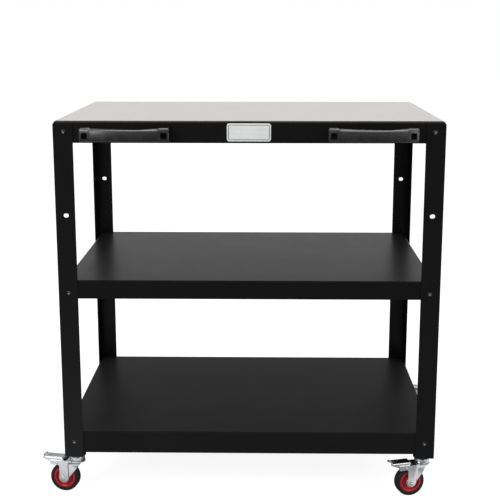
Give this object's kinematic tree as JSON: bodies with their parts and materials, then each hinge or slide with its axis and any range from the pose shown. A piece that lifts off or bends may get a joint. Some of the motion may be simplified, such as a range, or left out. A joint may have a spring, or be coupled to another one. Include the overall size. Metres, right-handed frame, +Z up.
{
  "type": "rolling prep cart",
  "caption": "Rolling outdoor prep cart: stainless worktop on a folded black pan, angle legs, shelves below, pull handles, blank nameplate and braked swivel casters.",
  "frame": {"origin": "on the floor, below the centre of the whole cart, pedals and handles included", "axes": "+X to the cart's right, +Y to its back, away from the handles, +Z up"},
  "size_m": [1.0202, 0.6446, 0.918],
  "materials": {
    "black_coat": "satin black powder coat",
    "stainless": "fine brushed stainless steel",
    "zinc": "bright zinc plating",
    "black_screw": "black oxide",
    "grip_plastic": "moulded black, lightly grained",
    "collar_plastic": "moulded black",
    "red_plastic": "moulded red",
    "rubber": "black rubber",
    "plate_metal": "satin, blank, raised border"
  },
  "bodies": {
    "frame": {"worktop_pan": "black_coat", "worktop_ribs": "black_coat", "mid_shelf": "black_coat", "mid_shelf_rib": "black_coat", "bottom_shelf": "black_coat", "bottom_shelf_rib": "black_coat", "worktop_sheet": "stainless", "leg_front_left": "black_coat", "foot_plate_front_left": "black_coat", "leg_front_right": "black_coat", "foot_plate_front_right": "black_coat", "leg_back_left": "black_coat", "foot_plate_back_left": "black_coat", "leg_back_right": "black_coat", "foot_plate_back_right": "black_coat", "leg_screws": "black_screw", "leg_nuts": "zinc", "stem_nuts": "zinc", "handle_left": "grip_plastic", "handle_right": "grip_plastic", "handle_screws": "zinc", "handle_nuts": "zinc", "nameplate": "plate_metal", "stem_front_left": "zinc", "stem_front_right": "zinc", "stem_back_left": "zinc", "stem_back_right": "zinc", "collar_front_left": "collar_plastic", "collar_front_right": "collar_plastic", "collar_back_left": "collar_plastic", "collar_back_right": "collar_plastic"},
    "caster_front_left": {"fork_front_left": "zinc", "axle_front_left": "zinc", "bearing_front_left": "zinc", "pedal_pin_front_left": "zinc"},
    "wheel_front_left": {"hub_front_left": "red_plastic", "tyre_front_left": "rubber"},
    "brake_front_left": {"pedal_front_left": "zinc"},
    "caster_front_right": {"fork_front_right": "zinc", "axle_front_right": "zinc", "bearing_front_right": "zinc", "pedal_pin_front_right": "zinc"},
    "wheel_front_right": {"hub_front_right": "red_plastic", "tyre_front_right": "rubber"},
    "brake_front_right": {"pedal_front_right": "zinc"},
    "caster_back_left": {"fork_back_left": "zinc", "axle_back_left": "zinc", "bearing_back_left": "zinc", "pedal_pin_back_left": "zinc"},
    "wheel_back_left": {"hub_back_left": "red_plastic", "tyre_back_left": "rubber"},
    "brake_back_left": {"pedal_back_left": "zinc"},
    "caster_back_right": {"fork_back_right": "zinc", "axle_back_right": "zinc", "bearing_back_right": "zinc", "pedal_pin_back_right": "zinc"},
    "wheel_back_right": {"hub_back_right": "red_plastic", "tyre_back_right": "rubber"},
    "brake_back_right": {"pedal_back_right": "zinc"}
  },
  "joints": [
    {"name": "swivel_front_left", "type": "hinge", "parent": "frame", "child": "caster_front_left", "pos_m": [-0.424, -0.25425, 0.082], "axis": [0, 0, 1], "continuous": true},
    {"name": "wheel_spin_front_left", "type": "hinge", "parent": "caster_front_left", "child": "wheel_front_left", "pos_m": [-0.45551, -0.24869, 0.036], "axis": [-0.1736, -0.9848, 0], "continuous": true},
    {"name": "brake_press_front_left", "type": "hinge", "parent": "caster_front_left", "child": "brake_front_left", "pos_m": [-0.47029, -0.24609, 0.076], "axis": [-0.1736, -0.9848, 0], "range_deg": [0, 22]},
    {"name": "swivel_front_right", "type": "hinge", "parent": "frame", "child": "caster_front_right", "pos_m": [0.424, -0.25425, 0.082], "axis": [0, 0, 1], "continuous": true},
    {"name": "wheel_spin_front_right", "type": "hinge", "parent": "caster_front_right", "child": "wheel_front_right", "pos_m": [0.39324, -0.26307, 0.036], "axis": [0.2756, -0.9613, 0], "continuous": true},
    {"name": "brake_press_front_right", "type": "hinge", "parent": "caster_front_right", "child": "brake_front_right", "pos_m": [0.37882, -0.26721, 0.076], "axis": [0.2756, -0.9613, 0], "range_deg": [0, 22]},
    {"name": "swivel_back_left", "type": "hinge", "parent": "frame", "child": "caster_back_left", "pos_m": [-0.424, 0.29375, 0.082], "axis": [0, 0, 1], "continuous": true},
    {"name": "wheel_spin_back_left", "type": "hinge", "parent": "caster_back_left", "child": "wheel_back_left", "pos_m": [-0.39324, 0.28493, 0.036], "axis": [0.2756, 0.9613, 0], "continuous": true},
    {"name": "brake_press_back_left", "type": "hinge", "parent": "caster_back_left", "child": "brake_back_left", "pos_m": [-0.37882, 0.2808, 0.076], "axis": [0.2756, 0.9613, 0], "range_deg": [0, 22]},
    {"name": "swivel_back_right", "type": "hinge", "parent": "frame", "child": "caster_back_right", "pos_m": [0.424, 0.29375, 0.082], "axis": [0, 0, 1], "continuous": true},
    {"name": "wheel_spin_back_right", "type": "hinge", "parent": "caster_back_right", "child": "wheel_back_right", "pos_m": [0.45551, 0.28819, 0.036], "axis": [0.1736, 0.9848, 0], "continuous": true},
    {"name": "brake_press_back_right", "type": "hinge", "parent": "caster_back_right", "child": "brake_back_right", "pos_m": [0.47029, 0.28559, 0.076], "axis": [0.1736, 0.9848, 0], "range_deg": [0, 22]}
  ]
}
